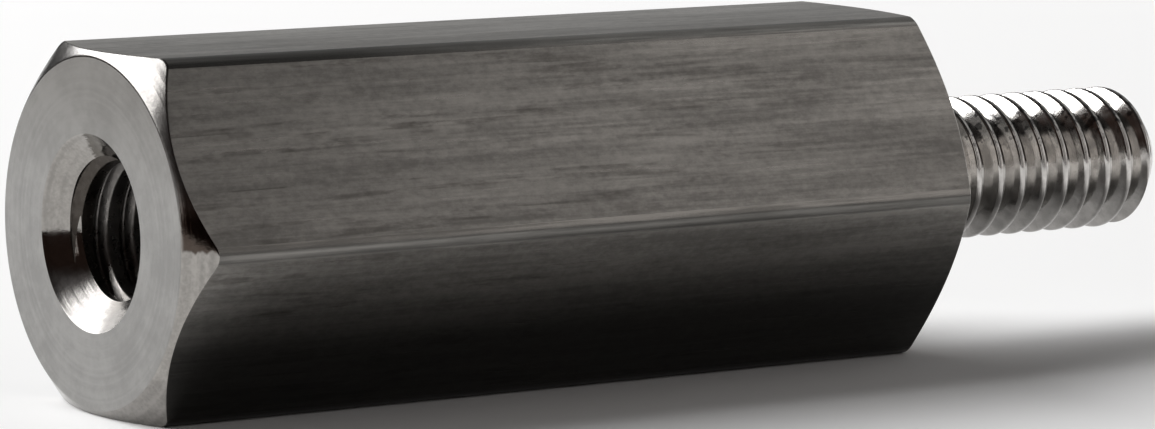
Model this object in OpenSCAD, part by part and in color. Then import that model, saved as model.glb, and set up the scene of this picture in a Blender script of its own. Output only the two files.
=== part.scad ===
// Male-female hex standoff: a hexagonal metal spacer, tapped at one end, with a
// threaded stud turned on the other. One solid piece, cut from drawn hexagon bar.
//
// It lies on one of its flats with its axis along X. The origin is on the axis, in
// the plane of the shoulder that the stud stands out of. The stud points along +X.

/* [Hex body] */
// Distance across two opposite flats
across_flats = 9.525; // [9:0.025:12]
// Length of the hexagonal body, from the tapped end face to the shoulder
body_len = 25.4; // [20:0.2:40]
// Radius along the six long corners of the drawn bar
corner_r = 0.55; // [0.2:0.05:0.8]
// Angle at which each rounded corner meets its two flats
corner_break = 5; // [3:1:10]

/* [End chamfers] */
// How far the rim of the tapped end face lies inside the flats
tapped_inset = 0.15; // [0.05:0.05:0.8]
// Angle between the chamfer and the tapped end face
tapped_angle = 39; // [20:1:50]
// How far the rim of the shoulder face lies inside the flats
shoulder_inset = 0.65; // [0.1:0.05:1.2]
// Angle between the chamfer and the shoulder face
shoulder_angle = 25; // [15:1:50]

/* [Tapped hole] */
// Diameter of the hole at the crests of its thread
bore_d = 3.65; // [3:0.05:3.8]
// Depth of the full round hole, measured from the tapped end face
bore_depth = 12.7; // [8:0.1:16]
// Angle of the cone that the drill leaves at the bottom
drill_point = 118; // [90:1:140]
// Diameter of the countersink at the end face
sink_d = 5.2; // [4.2:0.1:6.5]
// Included angle of the countersink
sink_angle = 90; // [60:1:120]

/* [Stud] */
// Diameter over the crests of the stud's thread
stud_d = 4.1; // [3.5:0.05:5]
// Length of the stud, from the shoulder to its tip
stud_len = 9.525; // [6:0.025:16]
// Length and depth of the 45 degree chamfer on the stud's tip
tip_chamfer = 0.8; // [0.2:0.05:0.9]

/* [Hidden] */
$fn = 96;
STEEL = [0.62, 0.61, 0.59];
// The cutting and joining shapes run past the faces they meet by this much
overlap = 1;
// Radius that clears the long corners, for the lathe's envelope
clear_r = across_flats / sqrt(3) + overlap;
tapped_face_r = across_flats / 2 - tapped_inset;
shoulder_face_r = across_flats / 2 - shoulder_inset;
sink_depth = (sink_d - bore_d) / 2 / tan(sink_angle / 2);
point_depth = bore_d / 2 / tan(drill_point / 2);

// Section of the bar, with two of its flats square to X. Each long corner is an arc
// that meets its two flats at a slight angle, as the drawing die leaves it.
module bar_section() {
    corner_at = (across_flats / 2 - corner_r * cos(corner_break)) / cos(30);
    land_at = corner_at + corner_r * cos(30);
    intersection() {
        rotate(30) circle(r = across_flats / 2 / cos(30), $fn = 6);
        union() {
            circle(r = land_at / cos(30), $fn = 6);
            for (k = [0 : 5])
                rotate(30 + 60 * k) translate([corner_at, 0]) circle(r = corner_r);
        }
    }
}

// What the lathe leaves: a round envelope with a cone at each end. The cones cut
// deepest at the long corners, which gives the end of each flat its arched edge.
module turned_envelope() {
    tapped_rise = (clear_r - tapped_face_r) * tan(tapped_angle);
    shoulder_rise = (clear_r - shoulder_face_r) * tan(shoulder_angle);
    rotate_extrude() polygon([
        [0, -body_len],
        [tapped_face_r, -body_len],
        [clear_r, -body_len + tapped_rise],
        [clear_r, -shoulder_rise],
        [shoulder_face_r, 0],
        [0, 0]
    ]);
}

// The drilled hole with its countersunk mouth and the cone at its bottom.
module tapped_hole() {
    mouth_r = sink_d / 2;
    bore_r = bore_d / 2;
    translate([0, 0, -body_len]) rotate_extrude() polygon([
        [0, -overlap],
        [mouth_r + overlap * tan(sink_angle / 2), -overlap],
        [bore_r, sink_depth],
        [bore_r, bore_depth],
        [0, bore_depth + point_depth]
    ]);
}

// The stud, rooted in the body so that the two are one solid.
module stud() {
    stud_r = stud_d / 2;
    rotate_extrude() polygon([
        [0, -overlap],
        [stud_r, -overlap],
        [stud_r, stud_len - tip_chamfer],
        [stud_r - tip_chamfer, stud_len],
        [0, stud_len]
    ]);
}

module standoff() {
    color(STEEL) rotate([0, 90, 0]) {
        difference() {
            intersection() {
                translate([0, 0, -body_len]) linear_extrude(body_len) bar_section();
                turned_envelope();
            }
            tapped_hole();
        }
        stud();
    }
}

standoff();
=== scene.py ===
"""A hex standoff: drawn hexagon bar, chamfered on a lathe, tapped and threaded.

The frame gives the sizes. This script models the one metal piece with its real
threads and its finishes, and sets a plain floor, the lights and the camera.
"""

import math

import bmesh
import bpy
from bpy.props import FloatProperty, FloatVectorProperty, IntProperty, PointerProperty
from mathutils import Matrix, Vector


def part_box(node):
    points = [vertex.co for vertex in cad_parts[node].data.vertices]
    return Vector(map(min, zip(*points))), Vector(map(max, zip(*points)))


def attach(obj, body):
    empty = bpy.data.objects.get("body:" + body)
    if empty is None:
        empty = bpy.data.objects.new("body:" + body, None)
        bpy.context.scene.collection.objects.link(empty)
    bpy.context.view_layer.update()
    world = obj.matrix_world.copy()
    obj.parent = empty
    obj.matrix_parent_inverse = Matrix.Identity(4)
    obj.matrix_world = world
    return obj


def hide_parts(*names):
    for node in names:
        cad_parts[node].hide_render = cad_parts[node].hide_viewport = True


bl_info = {
    "name": "Hex standoff",
    "version": (1, 0, 0),
    "blender": (4, 5, 0),
    "location": "View3D > Sidebar > Standoff",
    "description": "Models a threaded hex standoff on a plain floor",
    "category": "Object",
}

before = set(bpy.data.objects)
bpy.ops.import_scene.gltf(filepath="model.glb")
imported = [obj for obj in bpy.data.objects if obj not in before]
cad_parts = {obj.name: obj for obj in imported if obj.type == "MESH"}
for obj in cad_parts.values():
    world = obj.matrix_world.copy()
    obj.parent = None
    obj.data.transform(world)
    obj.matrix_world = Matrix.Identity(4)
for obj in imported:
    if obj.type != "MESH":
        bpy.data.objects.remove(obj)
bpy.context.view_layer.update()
LOW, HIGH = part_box("standoff")

MM = 0.001
# The finishes of the piece, in the order of its material slots.
DRAWN, CORNER, TURNED, CUT, THREADED, BORE = range(6)

# Vertices closer than this are one vertex.
WELD = 0.0005 * MM
# Edges that turn by more than this stay hard.
HARD_EDGE = math.radians(28)
# Edges of the thread that turn by more than this are rounded.
THREAD_EDGE = math.radians(20)
# A face whose direction is within so many degrees of a flat's belongs to that flat.
FLAT_SPREAD = 2
# Straight steps in the rounding of one long corner, and cuts across each flat,
# which let its ends follow the cones.
CORNER_STEPS = 8
FLAT_CUTS = 17
# Half of the angle between the flanks of the thread, and half of the drill's point.
FLANK_ANGLE = math.radians(30)
DRILL_ANGLE = math.radians(59)
# How far round each thread starts, as a share of a turn.
STUD_START = 0.43
TAP_START = 0.24

# How far the drawn flats bulge: millimetres for each square millimetre off the axis.
CROWN = 0.0097
# Waves in a millimetre, along each axis, of the fine lines of the drawn bar.
FINE_LINES = (0.25, 9, 9)
# How much of the metal's colour is left where shade is painted on it.
PAINTED_SHADE_LEFT = 0.05
# Colours mixed onto the metal: stains, painted shade on the end face and on the
# chamfers, a painted dark reflection, pits, and a darker tone at the mouth of the hole.
STAIN = (0.06, 0.05, 0.04, 1)
FACE_SHADE_TONE = (0.1, 0.09, 0.075, 1)
CUT_SHADE_TONE = (0.04, 0.04, 0.045, 1)
DARK_REFLECTION = (0.05, 0.033, 0.024, 1)
PIT = (0.03, 0.03, 0.035, 1)
MOUTH_TONE = (0.03, 0.022, 0.015, 1)

# Colours and lowest strength of the light from the room.
WHITE = (1, 1, 1, 1)
CREAM = (1, 0.96, 0.94, 1)
BROWN = (1, 0.62, 0.5, 1)
DIMMEST = 0.025
# The window: the way to it from the piece, then metres, and its brightness.
WINDOW_WAY = (-0.418, 0.668, 0.616)
WINDOW_DISTANCE = 1.2
WINDOW_WIDTH = 1.5
WINDOW_HEIGHT = 0.68
WINDOW_BRIGHTNESS = 7.6
FLOOR_RADIUS = 1.3
FLOOR_SIDES = 64

# The camera: what it looks at and from how far, in millimetres, the degrees by
# which it is turned, raised and rolled, and its lens and sensor in millimetres.
AIM = (-9.441, 0.929, -0.656)
DISTANCE = 150.12
TURN, RISE, ROLL = -34.62, 7.66, 0.735
LENS, SENSOR = 168.92, 36


class BarSizes(bpy.types.PropertyGroup):
    """The hexagonal body and its turned ends."""

    across_flats: FloatProperty(
        name="Across flats",
        description="Distance across two opposite flats",
        default=HIGH.z - LOW.z,
        unit="LENGTH",
    )
    tapped_end: FloatProperty(
        name="Tapped end",
        description="Where the tapped end face lies along X",
        default=LOW.x,
        unit="LENGTH",
    )
    corner_radius: FloatProperty(
        name="Corner radius",
        description="Radius along the six long corners",
        default=0.55 * MM,
        unit="LENGTH",
    )
    corner_break: FloatProperty(
        name="Corner break",
        description="Angle at which a rounded corner meets its two flats",
        default=math.radians(5),
        subtype="ANGLE",
    )
    tapped_inset: FloatProperty(
        name="Tapped inset",
        description="How far the rim of the tapped end face lies inside the flats",
        default=0.15 * MM,
        unit="LENGTH",
    )
    tapped_angle: FloatProperty(
        name="Tapped chamfer",
        description="Angle between the chamfer and the tapped end face",
        default=math.radians(39),
        subtype="ANGLE",
    )
    shoulder_inset: FloatProperty(
        name="Shoulder inset",
        description="How far the rim of the shoulder face lies inside the flats",
        default=0.65 * MM,
        unit="LENGTH",
    )
    shoulder_angle: FloatProperty(
        name="Shoulder chamfer",
        description="Angle between the chamfer and the shoulder face",
        default=math.radians(25),
        subtype="ANGLE",
    )
    edge_break: FloatProperty(
        name="Edge break",
        description="Width of the worn rounding on the turned edges",
        default=0.04 * MM,
        unit="LENGTH",
    )


class ThreadSizes(bpy.types.PropertyGroup):
    """The stud, the tapped hole and their thread."""

    pitch: FloatProperty(
        name="Pitch",
        description="Distance from one turn of the thread to the next",
        default=0.79375 * MM,
        unit="LENGTH",
    )
    stud_radius: FloatProperty(
        name="Stud radius",
        description="Radius over the crests of the stud's thread",
        default=2.05 * MM,
        unit="LENGTH",
    )
    stud_depth: FloatProperty(
        name="Stud thread depth",
        description="Height of the stud's thread from root to crest",
        default=0.45 * MM,
        unit="LENGTH",
    )
    crest_flat: FloatProperty(
        name="Stud crest",
        description="Width of the flat on the crests of the stud's thread",
        default=0.16 * MM,
        unit="LENGTH",
    )
    edge_break: FloatProperty(
        name="Edge break",
        description="Width of the rounding on the edges of the thread",
        default=0.055 * MM,
        unit="LENGTH",
    )
    stud_tip: FloatProperty(
        name="Stud tip",
        description="Where the stud ends along X",
        default=HIGH.x,
        unit="LENGTH",
    )
    tip_chamfer: FloatProperty(
        name="Tip chamfer",
        description="Length and depth of the chamfer on the stud's tip",
        default=0.8 * MM,
        unit="LENGTH",
    )
    bore_radius: FloatProperty(
        name="Bore radius",
        description="Radius of the hole at the crests of its thread",
        default=1.825 * MM,
        unit="LENGTH",
    )
    hole_depth: FloatProperty(
        name="Hole thread depth",
        description="Height of the hole's thread from crest to root",
        default=0.27 * MM,
        unit="LENGTH",
    )
    bore_length: FloatProperty(
        name="Bore length",
        description="Length of the full round hole from the end face",
        default=12.7 * MM,
        unit="LENGTH",
    )
    sink_radius: FloatProperty(
        name="Countersink radius",
        description="Radius of the countersink in the end face",
        default=2.6 * MM,
        unit="LENGTH",
    )
    steps: IntProperty(
        name="Steps",
        description="Straight steps in one turn of the thread",
        default=96,
        min=24,
    )


class FinishColours(bpy.types.PropertyGroup):
    """Colours of the bare metal and of the floor."""

    drawn: FloatVectorProperty(
        name="Drawn flats",
        description="Colour of the drawn flats",
        default=(0.46, 0.443, 0.415),
        subtype="COLOR",
        size=3,
    )
    turned: FloatVectorProperty(
        name="Turned face",
        description="Colour of the tapped end face",
        default=(0.305, 0.3, 0.29),
        subtype="COLOR",
        size=3,
    )
    cut: FloatVectorProperty(
        name="Chamfers",
        description="Colour of the chamfers and the countersink",
        default=(0.34, 0.325, 0.305),
        subtype="COLOR",
        size=3,
    )
    threaded: FloatVectorProperty(
        name="Stud",
        description="Colour of the stud and of the shoulder face",
        default=(0.62, 0.6, 0.575),
        subtype="COLOR",
        size=3,
    )
    # Kept dark, partly as painted shade inside the hole and partly as oil and dirt.
    bore: FloatVectorProperty(
        name="Bore",
        description="Colour of the hole and its thread",
        default=(0.2, 0.19, 0.18),
        subtype="COLOR",
        size=3,
    )
    floor: FloatVectorProperty(
        name="Floor",
        description="Colour of the floor",
        default=(0.97, 0.97, 0.97),
        subtype="COLOR",
        size=3,
    )


class Signal:
    """A socket of a node tree. Arithmetic on it adds Math nodes."""

    def __init__(self, finish, socket):
        self.finish = finish
        self.socket = socket

    def _math(self, operation, first, second):
        return self.finish.node(
            "ShaderNodeMath", {"operation": operation}, {0: first, 1: second}
        )

    def __add__(self, other):
        return self._math("ADD", self, other)

    def __radd__(self, other):
        return self._math("ADD", other, self)

    def __sub__(self, other):
        return self._math("SUBTRACT", self, other)

    def __rsub__(self, other):
        return self._math("SUBTRACT", other, self)

    def __mul__(self, other):
        return self._math("MULTIPLY", self, other)

    def __rmul__(self, other):
        return self._math("MULTIPLY", other, self)

    def __abs__(self):
        return self._math("ABSOLUTE", self, 0.0)


class Finish:
    """A material or world, and the nodes that make it."""

    def __init__(self, owner):
        owner.use_nodes = True
        self.owner = owner
        self.tree = owner.node_tree
        self.tree.nodes.clear()

    def node(self, kind, settings=None, inputs=None, out=0):
        """Adds one node, sets it up, feeds its sockets and returns one output."""
        made = self.tree.nodes.new(kind)
        for name, value in (settings or {}).items():
            setattr(made, name, value)
        for name, value in (inputs or {}).items():
            if isinstance(value, Signal):
                self.tree.links.new(value.socket, made.inputs[name])
            else:
                made.inputs[name].default_value = value
        return Signal(self, made.outputs[out]) if len(made.outputs) else None

    def place_mm(self, stretch=(1, 1, 1)):
        """The place on the piece in millimetres, scaled along each axis."""
        here = self.node("ShaderNodeTexCoord", out="Object")
        scale = [s / MM for s in stretch]
        return self.node(
            "ShaderNodeVectorMath", {"operation": "MULTIPLY"}, {0: here, 1: scale}
        )

    def noise(self, waves, detail, rough=0.5):
        """Noise with so many waves in a millimetre along each axis."""
        return self.node(
            "ShaderNodeTexNoise",
            {"noise_dimensions": "3D"},
            {
                "Vector": self.place_mm(waves),
                "Scale": 1.0,
                "Detail": detail,
                "Roughness": rough,
            },
        )

    def ease(self, value, low, high, to_low=0.0, to_high=1.0):
        """Goes smoothly from to_low to to_high as the value goes from low to high."""
        return self.node(
            "ShaderNodeMapRange",
            {"interpolation_type": "SMOOTHSTEP"},
            {
                "Value": value,
                "From Min": low,
                "From Max": high,
                "To Min": to_low,
                "To Max": to_high,
            },
        )

    def blend(self, factor, first, second):
        """Mixes two colours: the first at a factor of 0, the second at 1."""
        return self.node(
            "ShaderNodeMix",
            {"data_type": "RGBA"},
            {0: factor, 6: first, 7: second},
            out=2,
        )

    def larger(self, first, second):
        """The larger of two values."""
        return self.node(
            "ShaderNodeMath", {"operation": "MAXIMUM"}, {0: first, 1: second}
        )

    def parts(self, vector):
        """The X, Y and Z parts of a vector."""
        first = self.node("ShaderNodeSeparateXYZ", inputs={"Vector": vector})
        return [Signal(self, socket) for socket in first.socket.node.outputs]

    def radius_mm(self):
        """The distance from the axis in millimetres."""
        return self.node(
            "ShaderNodeVectorMath",
            {"operation": "LENGTH"},
            {0: self.place_mm((0, 1, 1))},
            out="Value",
        )

    def rings(self, fineness):
        """Fine rings round the axis, as a cutting tool leaves them."""
        return self.node(
            "ShaderNodeTexNoise",
            {"noise_dimensions": "1D"},
            {"W": self.radius_mm() * fineness, "Scale": 1.0, "Detail": 3.0},
        )

    def metal(self, colour, roughness, bump_height, bump_size):
        """Ends the tree in a bare metal and returns the material."""
        normal = self.node(
            "ShaderNodeBump",
            inputs={"Strength": 1.0, "Distance": bump_size, "Height": bump_height},
        )
        shader = self.node(
            "ShaderNodeBsdfPrincipled",
            inputs={
                "Base Color": colour,
                "Metallic": 1.0,
                "Roughness": roughness,
                "Normal": normal,
            },
        )
        self.node("ShaderNodeOutputMaterial", inputs={"Surface": shader})
        return self.owner


def shade(colour, factor):
    """The colour made darker or lighter by the factor, with an alpha of 1."""
    return (*(c * factor for c in colour), 1.0)


def drawn_steel(colours):
    """Drawn flats: fine lines and broken scratches along X, dull clouds and grain."""
    finish = Finish(bpy.data.materials.new("drawn_steel"))
    lines = finish.noise(FINE_LINES, detail=4, rough=0.6)
    streaks = finish.noise((0.07, 2.2, 2.2), detail=4, rough=0.6)
    clouds = finish.noise((0.12, 0.9, 0.9), detail=6, rough=0.65)
    grain = finish.noise((3, 5, 5), detail=5, rough=0.75)
    tone = lines * 0.15 + streaks * 0.25 + clouds * 0.3 + grain * 0.3
    tone = finish.ease(tone, 0.38, 0.62)
    colour = finish.blend(tone, shade(colours.drawn, 0.66), shade(colours.drawn, 1.24))

    # Thin wandering scratches, broken where the bar isn't worn, and stains.
    wander = abs(finish.noise((0.05, 1.3, 1.3), detail=3) - 0.5)
    worn = finish.noise((0.4, 1.5, 1.5), detail=4, rough=0.7)
    scratches = finish.ease(wander, 0.01, 0.05, 1, 0) * finish.ease(worn, 0.46, 0.6)
    stains = finish.ease(finish.noise((0.6, 1.6, 1.6), detail=5), 0.58, 0.72)
    x, _, z = finish.parts(finish.place_mm())
    marks = (scratches * 0.35 + stains * 0.25) * finish.ease(x, -16, -3, 1, 0.5)
    colour = finish.blend(marks, colour, STAIN)

    # Painted shade, thick on the lowest flats and gone above the axis, and bands of
    # painted shade on the flats beside it: along the middle and round the tapped end.
    painted_shade = finish.ease(z, -3.1, 0.4, 0.945, 0)
    shade_band = finish.ease(x, -12, -4, 0.08, 0.2)
    shade_band = shade_band * finish.ease(abs(z - 1.2), 0.5, 1.1, 1, 0)
    shade_band = shade_band + finish.ease(x, -24, -13, 0.1, 0)
    painted_shade = finish.larger(painted_shade, shade_band)
    colour = finish.blend(painted_shade, colour, shade(colours.drawn, PAINTED_SHADE_LEFT))

    roughness = finish.ease(lines * 0.6 + clouds * 0.4, 0.3, 0.7, 0.36, 0.26)
    radius = finish.radius_mm()
    crown = radius * radius * CROWN
    height = lines * 0.002 + streaks * 0.001 - scratches * 0.002 - crown
    return finish.metal(colour, roughness, height, MM)


def corner_steel(colours):
    """Long corners: duller than the flats, with the same lines."""
    finish = Finish(bpy.data.materials.new("corner_steel"))
    lines = finish.noise(FINE_LINES, detail=4, rough=0.6)
    streaks = finish.noise((0.3, 1.5, 1.5), detail=5, rough=0.7)
    tone = finish.ease(lines * 0.5 + streaks * 0.5, 0.4, 0.6)
    colour = finish.blend(tone, shade(colours.drawn, 0.62), shade(colours.drawn, 0.92))

    # Painted shade: thick below, on the upper corners towards the tapped end, and
    # in a line along the two corners at the height of the axis.
    x, _, z = finish.parts(finish.place_mm())
    low = finish.ease(z, -3.2, -0.6, 0.93, 0)
    high = finish.ease(z, 2, 4) * finish.ease(x, -20, -12, 0.6, 0.1)
    line = finish.ease(abs(z + 0.06), 0.1, 0.17, 1, 0)
    line = line * finish.ease(x, -20, -10, 0.5, 0.66)
    painted_shade = low + high + line
    colour = finish.blend(painted_shade, colour, shade(colours.drawn, PAINTED_SHADE_LEFT))

    roughness = finish.ease(lines, 0.3, 0.7, 0.26, 0.18)
    return finish.metal(colour, roughness, lines, 0.002 * MM)


def turned_steel(colours):
    """The tapped end face: fine rings, a little uneven, with painted shade towards the
    top.
    """
    finish = Finish(bpy.data.materials.new("turned_steel"))
    rings = finish.rings(7)
    clouds = finish.noise((0.8, 0.8, 0.8), detail=6, rough=0.75)
    tone = finish.ease(rings * 0.25 + clouds * 0.75, 0.35, 0.65)
    colour = finish.blend(
        tone, shade(colours.turned, 0.88), shade(colours.turned, 1.12)
    )

    _, _, z = finish.parts(finish.place_mm())
    # Painted shade: darker and browner towards the top.
    painted_dimming = finish.ease(z, 0.5, 4.6, 0, 0.5)
    colour = finish.blend(painted_dimming, colour, FACE_SHADE_TONE)

    roughness = finish.ease(clouds, 0.3, 0.7, 0.24, 0.18)
    return finish.metal(colour, roughness, rings, 0.0003 * MM)


def cut_steel(colours):
    """Chamfers and countersink: bright cuts with torn rings and chatter."""
    finish = Finish(bpy.data.materials.new("cut_steel"))
    rings = finish.rings(5)
    chatter = finish.noise((2.2, 2.2, 2.2), detail=6, rough=0.7)
    grain = finish.noise((9, 9, 9), detail=3, rough=0.6)
    tone = finish.ease(rings * 0.35 + chatter * 0.3 + grain * 0.35, 0.36, 0.64)
    colour = finish.blend(tone, shade(colours.cut, 0.78), shade(colours.cut, 1.12))

    # Painted shade: on the upper chamfers and in the lower half of the countersink,
    # where it dims the lamp's highlights, and at the foot of the chamfers.
    x, _, z = finish.parts(finish.place_mm())
    radius = finish.radius_mm()
    upper = finish.ease(z, 0.9, 2) * finish.ease(radius, 3, 3.5)
    inner = finish.ease(z, -1.5, -0.9, 1, 0) * finish.ease(radius, 2.7, 3, 1, 0)
    foot = finish.ease(z, -3.7, -3.1, 0.5, 0) * finish.ease(radius, 4.5, 4.6)
    painted_dimming = upper + inner + foot
    colour = finish.blend(painted_dimming * 0.5, colour, CUT_SHADE_TONE)

    # A painted reflection of the dark room on the chamfer of the tapped end, above a
    # ragged edge beside the axis.
    torn = z + (rings - 0.5) * 0.25
    painted_reflection = finish.ease(torn, 0.06, 0.16) * finish.ease(z, 0.8, 1.3, 1, 0)
    painted_reflection = painted_reflection * finish.ease(radius, 4.6, 4.7) * finish.ease(x, -22, -21, 0.88, 0)
    colour = finish.blend(painted_reflection, colour, DARK_REFLECTION)

    roughness = finish.ease(chatter, 0.3, 0.7, 0.11, 0.05) + painted_dimming * 0.16
    height = chatter * 0.3 + rings * 0.6 + grain * 0.1
    return finish.metal(colour, roughness, height, 0.012 * MM)


def threaded_steel(colours):
    """The stud's thread and the shoulder: smooth, pitted above, painted shade below."""
    finish = Finish(bpy.data.materials.new("threaded_steel"))
    spots = finish.noise((2.5, 2.5, 2.5), detail=4)
    tone = finish.ease(spots, 0.35, 0.65)
    colour = finish.blend(
        tone, shade(colours.threaded, 0.8), shade(colours.threaded, 1.12)
    )

    _, _, z = finish.parts(finish.place_mm())
    # Painted shade below the axis, a little heavier towards the bottom.
    painted_shade = finish.ease(z, -0.75, -0.4, 0.5, 0) + finish.ease(z, -1.9, -1, 0.1, 0)
    colour = finish.blend(painted_shade, colour, shade(colours.threaded, 0.1))
    pits = finish.ease(finish.noise((5, 5, 5), detail=3), 0.54, 0.64)
    pits = pits * finish.ease(z, 0.5, 1.3, 0.15, 0.75)
    colour = finish.blend(pits, colour, PIT)

    roughness = finish.ease(spots, 0.3, 0.7, 0.19, 0.11)
    return finish.metal(colour, roughness, spots, 0.006 * MM)


def bore_steel(colours):
    """The hole and its thread: dark, partly as painted shade inside the hole and partly
    as oil and dirt; torn by the tap, darker and browner at the first turn.
    """
    finish = Finish(bpy.data.materials.new("bore_steel"))
    tears = finish.noise((5, 5, 5), detail=4)
    colour = finish.blend(tears, shade(colours.bore, 0.6), shade(colours.bore, 1.4))
    x, _, _ = finish.parts(finish.place_mm())
    # Darker and browner over the first turn, at the mouth of the hole.
    mouth = finish.ease(x, -24.4, -24.1, 0.75, 0)
    colour = finish.blend(mouth, colour, MOUTH_TONE)
    roughness = finish.ease(tears, 0.3, 0.7, 0.4, 0.25)
    return finish.metal(colour, roughness, tears, 0.01 * MM)


# One for each material slot, in the order of the slots.
FINISHES = (
    drawn_steel,
    corner_steel,
    turned_steel,
    cut_steel,
    threaded_steel,
    bore_steel,
)


def grow(bm, rim, place, slot):
    """Extrudes an open rim, puts each new vertex at place(old), returns the new rim."""
    made = bmesh.ops.extrude_edge_only(bm, edges=rim)["geom"]
    fresh = {g for g in made if isinstance(g, bmesh.types.BMVert)}
    for vert in fresh:
        vert.co = place(vert.co)
    for face in (g for g in made if isinstance(g, bmesh.types.BMFace)):
        face.material_index = slot
    edges = (g for g in made if isinstance(g, bmesh.types.BMEdge))
    return [e for e in edges if fresh.issuperset(e.verts)]


def cap(bm, rim, slot):
    """Closes an open rim with one flat face."""
    for face in bmesh.ops.edgeloop_fill(bm, edges=rim)["faces"]:
        face.material_index = slot


def set_right(bm):
    """Merges doubles, then turns every face outwards."""
    bmesh.ops.remove_doubles(bm, verts=bm.verts, dist=WELD)
    bmesh.ops.recalc_face_normals(bm, faces=bm.faces)


def solid(name, bm, materials):
    """Puts a finished bmesh into a new object at the origin."""
    mesh = bpy.data.meshes.new(name)
    bm.to_mesh(mesh)
    bm.free()
    for material in materials:
        mesh.materials.append(material)
    made = bpy.data.objects.new(name, mesh)
    bpy.context.scene.collection.objects.link(made)
    return made


def machine(work, tool, how):
    """Cuts, joins or trims the work with a tool solid, and throws the tool away."""
    step = work.modifiers.new("machine", "BOOLEAN")
    step.solver = "MANIFOLD"
    step.operation = how
    step.object = tool
    graph = bpy.context.evaluated_depsgraph_get()
    mesh = bpy.data.meshes.new_from_object(work.evaluated_get(graph))
    work.modifiers.remove(step)
    old, work.data = work.data, mesh
    for spent in (old, tool.data):
        bpy.data.meshes.remove(spent)


def bar_outline(bm, bar):
    """The section of the drawn bar as a closed ring of edges in the YZ plane."""
    half = bar.across_flats / 2
    inside = half - bar.corner_radius * math.cos(bar.corner_break)
    reach = inside / math.cos(math.radians(30))
    spread = math.radians(30) - bar.corner_break
    ends = []
    for side in range(6):
        turn = Matrix.Rotation(math.radians(60 * side), 3, "X")
        centre = turn @ Vector((0, reach, 0))
        aside = Matrix.Rotation(-spread, 3, "X")
        first = bm.verts.new(centre + turn @ aside @ Vector((0, bar.corner_radius, 0)))
        arc = bmesh.ops.spin(
            bm,
            geom=[first],
            axis=(1, 0, 0),
            cent=centre,
            angle=2 * spread,
            steps=CORNER_STEPS,
        )
        ends += [first, arc["geom_last"][0]]
    flats = [bm.edges.new((ends[k - 1], ends[k])) for k in range(0, 12, 2)]
    bmesh.ops.subdivide_edges(bm, edges=flats, cuts=FLAT_CUTS)
    return bm.edges[:]


def is_corner(normal):
    """True where a face along the bar belongs to a rounded corner, not to a flat."""
    turn = math.degrees(math.atan2(normal.z, normal.y)) % 60
    return abs(turn - 30) > FLAT_SPREAD


def hexagon_bar(bar, materials):
    """The body: the drawn bar with a cone turned on each end."""
    bm = bmesh.new()
    tapped_arch = bar_outline(bm, bar)
    tapped_rim = bar.across_flats / 2 - bar.tapped_inset
    shoulder_rim = bar.across_flats / 2 - bar.shoulder_inset

    def off_axis(co):
        return math.hypot(co.y, co.z)

    def on_tapped_cone(co):
        rise = (off_axis(co) - tapped_rim) * math.tan(bar.tapped_angle)
        return Vector((bar.tapped_end + rise, co.y, co.z))

    def on_shoulder_cone(co):
        rise = (off_axis(co) - shoulder_rim) * math.tan(bar.shoulder_angle)
        return Vector((-rise, co.y, co.z))

    def on_circle(x, radius):
        def place(co):
            near = radius / off_axis(co)
            return Vector((x, co.y * near, co.z * near))

        return place

    for vert in bm.verts:
        vert.co = on_tapped_cone(vert.co)
    tapped_edge = grow(bm, tapped_arch, on_circle(bar.tapped_end, tapped_rim), CUT)
    cap(bm, tapped_edge, TURNED)
    shoulder_arch = grow(bm, tapped_arch, on_shoulder_cone, DRAWN)
    bm.normal_update()
    for face in bm.faces:
        if face.material_index == DRAWN and is_corner(face.normal):
            face.material_index = CORNER
    shoulder_edge = grow(bm, shoulder_arch, on_circle(0, shoulder_rim), CUT)
    cap(bm, shoulder_edge, THREADED)
    bmesh.ops.bevel(
        bm,
        geom=tapped_arch + tapped_edge + shoulder_arch + shoulder_edge,
        offset=bar.edge_break,
        segments=3,
        profile=0.5,
        affect="EDGES",
        material=-1,
    )
    set_right(bm)
    return solid("standoff_steel", bm, materials)


def lathe(outline, steps, slot, name, materials):
    """A solid turned round X from (x, radius) points that start and end on it."""
    bm = bmesh.new()
    verts = [bm.verts.new((x, 0, radius)) for x, radius in outline]
    edges = [bm.edges.new(pair) for pair in zip(verts, verts[1:])]
    bmesh.ops.spin(
        bm,
        geom=verts + edges,
        axis=(1, 0, 0),
        cent=(0, 0, 0),
        angle=math.tau,
        steps=steps,
        use_merge=True,
    )
    for face in bm.faces:
        face.material_index = slot
    set_right(bm)
    return solid(name, bm, materials)


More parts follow.
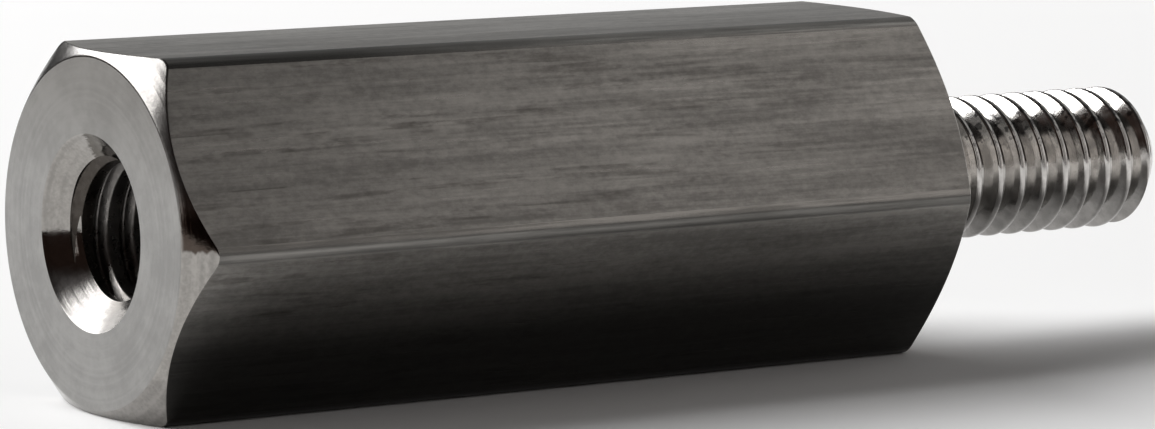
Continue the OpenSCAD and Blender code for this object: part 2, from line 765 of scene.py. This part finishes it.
def thread_rod(name, materials, slot, thread, crest, depth, flat, start, end, shift):
    """A closed rod with a right-hand thread between two planes square to X.

    The crest is a radius, the depth goes down from it to the root, and the flat is
    the crest's width. The shift is the share of a turn that the thread starts by.
    """
    bm = bmesh.new()
    pitch = thread.pitch
    flank = depth * math.tan(FLANK_ANGLE)
    groove = (pitch - flat) / 2 - flank
    outline = [
        (-pitch / 2, crest),
        (-groove - flank, crest),
        (-groove, crest - depth),
        (groove, crest - depth),
        (groove + flank, crest),
        (pitch / 2, crest),
    ]
    # The thread runs past both planes, and is then cut off at them.
    first = start - (1.5 - shift) * pitch
    turns = math.ceil((end - start) / pitch) + 2
    verts = [bm.verts.new((first + x, 0, radius)) for x, radius in outline]
    edges = [bm.edges.new(pair) for pair in zip(verts, verts[1:])]
    bmesh.ops.spin(
        bm,
        geom=verts + edges,
        axis=(1, 0, 0),
        cent=(0, 0, 0),
        dvec=(pitch / thread.steps, 0, 0),
        angle=math.tau * turns,
        steps=thread.steps * turns,
    )
    bmesh.ops.remove_doubles(bm, verts=bm.verts, dist=WELD)
    # The rounding always leaves a little of the crest's flat.
    bmesh.ops.bevel(
        bm,
        geom=[e for e in bm.edges if e.calc_face_angle(0) > THREAD_EDGE],
        offset=min(thread.edge_break, flat * 0.45),
        segments=4,
        profile=0.5,
        affect="EDGES",
        material=-1,
    )
    for x, outwards in ((start, -1), (end, 1)):
        cut = bmesh.ops.bisect_plane(
            bm,
            geom=bm.verts[:] + bm.edges[:] + bm.faces[:],
            plane_co=(x, 0, 0),
            plane_no=(outwards, 0, 0),
            clear_outer=True,
        )
        rim = [g for g in cut["geom_cut"] if isinstance(g, bmesh.types.BMEdge)]
        cap(bm, rim, slot)
    for face in bm.faces:
        face.material_index = slot
    set_right(bm)
    return solid(name, bm, materials)


def threaded_stud(thread, materials):
    """The stud: a threaded rod whose tip is chamfered and whose thread runs out."""
    crest, tip, chamfer = thread.stud_radius, thread.stud_tip, thread.tip_chamfer
    root = -0.5 * MM
    stud = thread_rod(
        "stud",
        materials,
        THREADED,
        thread,
        crest=crest,
        depth=thread.stud_depth,
        flat=thread.crest_flat,
        start=root,
        end=tip + thread.pitch,
        shift=STUD_START,
    )
    clear = crest + 0.01 * MM
    envelope = [
        (root - MM, 0),
        (root - MM, clear),
        (tip - chamfer, clear),
        (tip, crest - chamfer),
        (tip, 0),
    ]
    turned = lathe(envelope, thread.steps, THREADED, "tip", materials)
    machine(stud, turned, "INTERSECT")

    # Next to the shoulder the thread runs out over a cone, from just under its
    # crests down to just under its roots.
    run_start, run_end = 0.25 * MM, 1.5 * MM
    full = crest - 0.03 * MM
    run_out = [
        (root, 0),
        (root, full),
        (run_start, full),
        (run_end, crest - thread.stud_depth - 0.05 * MM),
        (run_end, 0),
    ]
    cone = lathe(run_out, thread.steps, THREADED, "run_out", materials)
    machine(stud, cone, "UNION")
    return stud


def tap(work, bar, thread, materials):
    """Drills, taps and countersinks the end of the bar."""
    face, bore, sink = bar.tapped_end, thread.bore_radius, thread.sink_radius
    beyond = 1.0 * MM
    bottom = face + thread.bore_length
    drill = [
        (face - beyond, 0),
        (face - beyond, bore),
        (bottom, bore),
        (bottom + bore / math.tan(DRILL_ANGLE), 0),
    ]
    machine(work, lathe(drill, thread.steps, BORE, "drill", materials), "DIFFERENCE")

    # The tap starts inside the countersink and stops two turns short of the bottom.
    rod = thread_rod(
        "tap",
        materials,
        BORE,
        thread,
        crest=bore + thread.hole_depth,
        depth=thread.hole_depth,
        flat=thread.pitch / 8,
        start=face + 0.55 * MM,
        end=bottom - 2 * thread.pitch,
        shift=TAP_START,
    )
    machine(work, rod, "DIFFERENCE")

    countersink = [
        (face - beyond, 0),
        (face - beyond, sink + beyond),
        (face + sink, 0),
    ]
    cone = lathe(countersink, thread.steps, CUT, "sink", materials)
    machine(work, cone, "DIFFERENCE")


def crease(mesh):
    """Shades smooth but for the hard edges and the limits of the long corners."""
    bm = bmesh.new()
    bm.from_mesh(mesh)
    for edge in bm.edges:
        finishes = {face.material_index for face in edge.link_faces}
        hard = edge.calc_face_angle(0) > HARD_EDGE
        edge.smooth = not hard and finishes != {DRAWN, CORNER}
    for face in bm.faces:
        face.smooth = True
    bm.to_mesh(mesh)
    bm.free()


class STANDOFF_OT_piece(bpy.types.Operator):
    """Model the standoff with its threads and finishes"""

    bl_idname = "standoff.piece"
    bl_label = "Standoff"

    def execute(self, context):
        bar = context.scene.standoff_bar
        thread = context.scene.standoff_thread
        colours = context.scene.standoff_colours
        materials = [make(colours) for make in FINISHES]
        piece = hexagon_bar(bar, materials)
        machine(piece, threaded_stud(thread, materials), "UNION")
        tap(piece, bar, thread, materials)
        crease(piece.data)
        crisp = piece.modifiers.new("crisp_flats", "WEIGHTED_NORMAL")
        crisp.keep_sharp = True
        crisp.thresh = 0
        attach(piece, "root")
        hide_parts("standoff")
        return {"FINISHED"}


def pale_floor(colours):
    """A plain round floor that the piece lies on."""
    bm = bmesh.new()
    bmesh.ops.create_circle(
        bm,
        cap_ends=True,
        radius=FLOOR_RADIUS,
        segments=FLOOR_SIDES,
        matrix=Matrix.Translation((0, 0, LOW.z)),
    )
    finish = Finish(bpy.data.materials.new("pale_floor"))
    shader = finish.node(
        "ShaderNodeBsdfPrincipled",
        inputs={
            "Base Color": shade(colours.floor, 1),
            "Roughness": 0.9,
            "Specular IOR Level": 0.2,
        },
    )
    finish.node("ShaderNodeOutputMaterial", inputs={"Surface": shader})
    solid("floor", bm, [finish.owner])


def window_light():
    """A soft box: a rectangle of even brightness that faces the piece."""
    light = bpy.data.lights.new("window", "AREA")
    light.shape = "RECTANGLE"
    light.size, light.size_y = WINDOW_WIDTH, WINDOW_HEIGHT
    light.energy = WINDOW_BRIGHTNESS * math.pi * WINDOW_WIDTH * WINDOW_HEIGHT
    lamp = bpy.data.objects.new("window", light)
    away = Vector(WINDOW_WAY).normalized()
    lamp.location = away * WINDOW_DISTANCE
    lamp.rotation_euler = away.to_track_quat("Z", "Y").to_euler()
    lamp.visible_camera = False
    bpy.context.scene.collection.objects.link(lamp)


def room_light():
    """A dim room with the pale areas that the bare metal mirrors."""
    world = bpy.data.worlds.new("room")
    bpy.context.scene.world = world
    finish = Finish(world)
    x, y, z = finish.parts(finish.node("ShaderNodeTexCoord", out="Generated"))

    # Before the piece, up to a slanting edge, and overhead: both only towards the
    # right, and palest in one band.
    level = finish.ease(x, 0.46, 0.6, 0, 0.72) * finish.ease(x, 0.6, 0.66, 1, 0.35)
    front = finish.ease(z + 1.6 * y, -0.05, 0.05, 1, 0)
    front = front * finish.ease(z, 0, 0.6, 0.65, 1)
    overhead = finish.ease(x, 0.53, 0.62) * finish.ease(y, 0, 0.2, 1, 0)

    # A strip straight before the piece, for the grooves of the stud.
    near = finish.ease(y, -0.66, -0.54, 0.55, 0)
    near = near * finish.ease(x, -0.18, -0.1) * finish.ease(x, 0.16, 0.24, 1, 0)
    bright = finish.larger(finish.larger(front, overhead) * level, near)

    # Behind the piece on the right, palest near the horizon.
    back = finish.ease(y, -0.05, 0.15, 0, 0.28) * finish.ease(x, 0.3, 0.45)
    back = back * finish.ease(z, 0.02, 0.22, 1.45, 0.72)

    # Far to the right and far to the left, low down.
    right = finish.ease(x, 0.75, 0.9, 0, 0.65) * finish.ease(z, 0.34, 0.42, 1, 0)
    left = finish.ease(x, -0.94, -0.88, 1, 0) * finish.ease(y, -0.24, -0.16)
    left = left * finish.ease(z, 0.3, 0.36, 1, 0)

    # The dark left side is brown, and the near side is a little creamy.
    neutral = finish.larger(finish.ease(x, -0.5, -0.2), left)
    white = finish.blend(finish.ease(y, -0.35, -0.1), CREAM, WHITE)
    colour = finish.blend(neutral, BROWN, white)
    strength = DIMMEST + bright + back + right + left * 0.5
    shader = finish.node(
        "ShaderNodeBackground", inputs={"Color": colour, "Strength": strength}
    )
    finish.node("ShaderNodeOutputWorld", inputs={"Surface": shader})


def camera():
    """Looks at the tapped end from the left and a little above."""
    turn, rise, roll = (math.radians(angle) for angle in (TURN, RISE, ROLL))
    back = Vector(
        (
            math.sin(turn) * math.cos(rise),
            -math.cos(turn) * math.cos(rise),
            math.sin(rise),
        )
    )
    level = back.to_track_quat("Z", "Y").to_matrix()
    data = bpy.data.cameras.new("camera")
    data.lens = LENS
    data.sensor_width = SENSOR
    data.clip_start = 0.01
    data.clip_end = 10
    made = bpy.data.objects.new("camera", data)
    made.location = Vector(AIM) * MM + back * DISTANCE * MM
    made.rotation_euler = (level @ Matrix.Rotation(roll, 3, "Z")).to_euler()
    bpy.context.scene.collection.objects.link(made)
    bpy.context.scene.camera = made


class STANDOFF_OT_stage(bpy.types.Operator):
    """Set the floor, the lights and the camera"""

    bl_idname = "standoff.stage"
    bl_label = "Stage"

    def execute(self, context):
        camera()
        pale_floor(context.scene.standoff_colours)
        window_light()
        room_light()
        context.scene.view_settings.view_transform = "Standard"
        return {"FINISHED"}


class STANDOFF_PT_sidebar(bpy.types.Panel):
    """Lists the operators"""

    bl_idname = "STANDOFF_PT_sidebar"
    bl_label = "Hex standoff"
    bl_space_type = "VIEW_3D"
    bl_region_type = "UI"
    bl_category = "Standoff"

    def draw(self, context):
        self.layout.operator(STANDOFF_OT_piece.bl_idname)
        self.layout.operator(STANDOFF_OT_stage.bl_idname)


GROUPS = {
    "standoff_bar": BarSizes,
    "standoff_thread": ThreadSizes,
    "standoff_colours": FinishColours,
}
CLASSES = (*GROUPS.values(), STANDOFF_OT_piece, STANDOFF_OT_stage, STANDOFF_PT_sidebar)


def register():
    for cls in CLASSES:
        bpy.utils.register_class(cls)
    for name, group in GROUPS.items():
        setattr(bpy.types.Scene, name, PointerProperty(type=group))


def unregister():
    for name in GROUPS:
        delattr(bpy.types.Scene, name)
    for cls in reversed(CLASSES):
        bpy.utils.unregister_class(cls)


def main():
    register()
    bpy.ops.standoff.stage()
    bpy.ops.standoff.piece()


if __name__ == "__main__":
    main()
